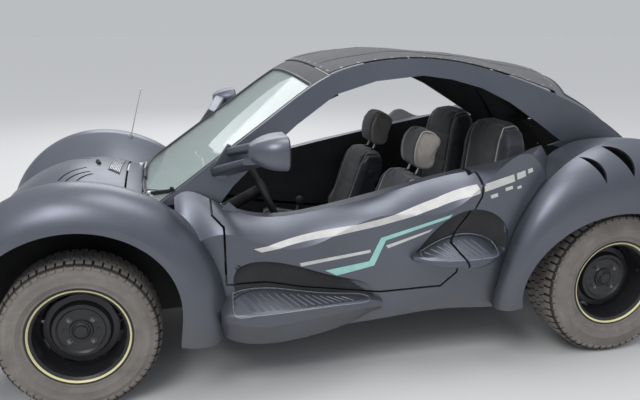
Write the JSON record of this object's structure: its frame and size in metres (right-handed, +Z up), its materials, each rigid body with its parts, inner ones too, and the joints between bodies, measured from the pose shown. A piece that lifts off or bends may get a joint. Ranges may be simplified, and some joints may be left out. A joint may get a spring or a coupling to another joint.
{
  "type": "dune buggy",
  "caption": "Closed-roof road dune buggy with round fenders, open-sided cabin, soft roof, hinged doors, hood and engine lid, and steered front wheels.",
  "frame": {"origin": "on the ground, midway between the front and rear axles and between the left and right wheels", "axes": "+X towards the front of the car, +Y to the driver's left, +Z up"},
  "size_m": [3.708, 2.0534, 1.413],
  "materials": {
    "body_paint": "satin charcoal grey paint with a bluish sheen and wear",
    "chassis_black": "black chassis paint, dusty",
    "liner_black": "black textured liner",
    "cast_metal": "dull cast metal",
    "exhaust_steel": "dull steel",
    "seal_rubber": "black rubber seal and painted header",
    "window_glass": "clear glass with a slight green tint",
    "roof_cloth": "black coated roof cloth",
    "wheel_black": "satin black steel wheels with a thin yellow line",
    "tyre_rubber": "dusty grey-brown tyre rubber",
    "dash_plastic": "black grained plastic",
    "seat_fabric": "dark grey woven seat fabric",
    "headrest_fabric": "beige-grey fabric",
    "mirror_plastic": "satin charcoal grey mirror shell",
    "trim_black": "black trim",
    "lamp_cover": "painted-over lamp cover",
    "lamp_red": "red lamp lens"
  },
  "bodies": {
    "chassis": {"floor_pan": "chassis_black", "inner_front_body": "liner_black", "inner_rear_body": "liner_black", "front_axle": "chassis_black", "rear_axle": "cast_metal", "engine": "cast_metal", "exhaust": "exhaust_steel", "front_fender_left": "body_paint", "front_fender_right": "body_paint", "rear_fender_left": "body_paint", "rear_fender_right": "body_paint", "nose_panel": "body_paint", "tail_panel": "body_paint", "body_side_left": "body_paint", "body_side_right": "body_paint", "side_arch_left": "body_paint", "side_arch_right": "body_paint", "windshield_frame": "seal_rubber", "windshield": "window_glass", "soft_roof": "roof_cloth", "rear_window_frame": "body_paint", "rear_window": "window_glass", "dashboard": "dash_plastic", "steering_column": "chassis_black", "front_seat_cushions": "seat_fabric", "front_seat_backs": "seat_fabric", "headrests": "headrest_fabric", "rear_seat_cushion": "seat_fabric", "rear_seat_backs": "seat_fabric", "seat_bases": "chassis_black", "mirror_left": "mirror_plastic", "mirror_right": "mirror_plastic", "bumpers": "trim_black", "headlamps": "lamp_cover", "tail_lamps": "lamp_red"},
    "door_left": {"door_left": "body_paint"},
    "door_right": {"door_right": "body_paint"},
    "hood": {"hood": "body_paint"},
    "engine_lid": {"engine_lid": "body_paint"},
    "knuckle_left": {"knuckle_left": "cast_metal"},
    "knuckle_right": {"knuckle_right": "cast_metal"},
    "steering_wheel": {"steering_wheel": "dash_plastic"},
    "wheel_front_left": {"wheel_front_left": "wheel_black", "tyre_front_left": "tyre_rubber"},
    "wheel_front_right": {"wheel_front_right": "wheel_black", "tyre_front_right": "tyre_rubber"},
    "wheel_rear_left": {"wheel_rear_left": "wheel_black", "tyre_rear_left": "tyre_rubber"},
    "wheel_rear_right": {"wheel_rear_right": "wheel_black", "tyre_rear_right": "tyre_rubber"}
  },
  "joints": [
    {"name": "door_left_hinge", "type": "hinge", "parent": "chassis", "child": "door_left", "pos_m": [0.607, 0.792, 0.6], "axis": [0, 0, -1], "range_deg": [0, 65]},
    {"name": "door_right_hinge", "type": "hinge", "parent": "chassis", "child": "door_right", "pos_m": [0.607, -0.792, 0.6], "axis": [0, 0, 1], "range_deg": [0, 65]},
    {"name": "hood_hinge", "type": "hinge", "parent": "chassis", "child": "hood", "pos_m": [1.012, 0, 0.885], "axis": [0, -1, 0], "range_deg": [0, 60]},
    {"name": "engine_lid_hinge", "type": "hinge", "parent": "chassis", "child": "engine_lid", "pos_m": [-1.505, 0, 0.96], "axis": [0, 1, 0], "range_deg": [0, 60]},
    {"name": "steer_left", "type": "hinge", "parent": "chassis", "child": "knuckle_left", "pos_m": [1.2, 0.555, 0.322], "axis": [0, 0, 1], "range_deg": [-30, 30]},
    {"name": "steer_right", "type": "hinge", "parent": "chassis", "child": "knuckle_right", "pos_m": [1.2, -0.555, 0.322], "axis": [0, 0, 1], "range_deg": [-30, 30]},
    {"name": "steering_wheel_turn", "type": "hinge", "parent": "chassis", "child": "steering_wheel", "pos_m": [0.4, 0.35, 0.79], "axis": [-0.9018, 0, 0.4321], "range_deg": [-420, 420]},
    {"name": "wheel_front_left_spin", "type": "hinge", "parent": "knuckle_left", "child": "wheel_front_left", "pos_m": [1.2, 0.665, 0.322], "axis": [0, 1, 0], "continuous": true},
    {"name": "wheel_front_right_spin", "type": "hinge", "parent": "knuckle_right", "child": "wheel_front_right", "pos_m": [1.2, -0.665, 0.322], "axis": [0, 1, 0], "continuous": true},
    {"name": "wheel_rear_left_spin", "type": "hinge", "parent": "chassis", "child": "wheel_rear_left", "pos_m": [-1.2, 0.7, 0.348], "axis": [0, 1, 0], "continuous": true},
    {"name": "wheel_rear_right_spin", "type": "hinge", "parent": "chassis", "child": "wheel_rear_right", "pos_m": [-1.2, -0.7, 0.348], "axis": [0, 1, 0], "continuous": true}
  ],
  "couplings": [
    {"joint": "steer_right", "follows": "steer_left", "ratio": 1},
    {"joint": "steering_wheel_turn", "follows": "steer_left", "ratio": 14}
  ]
}
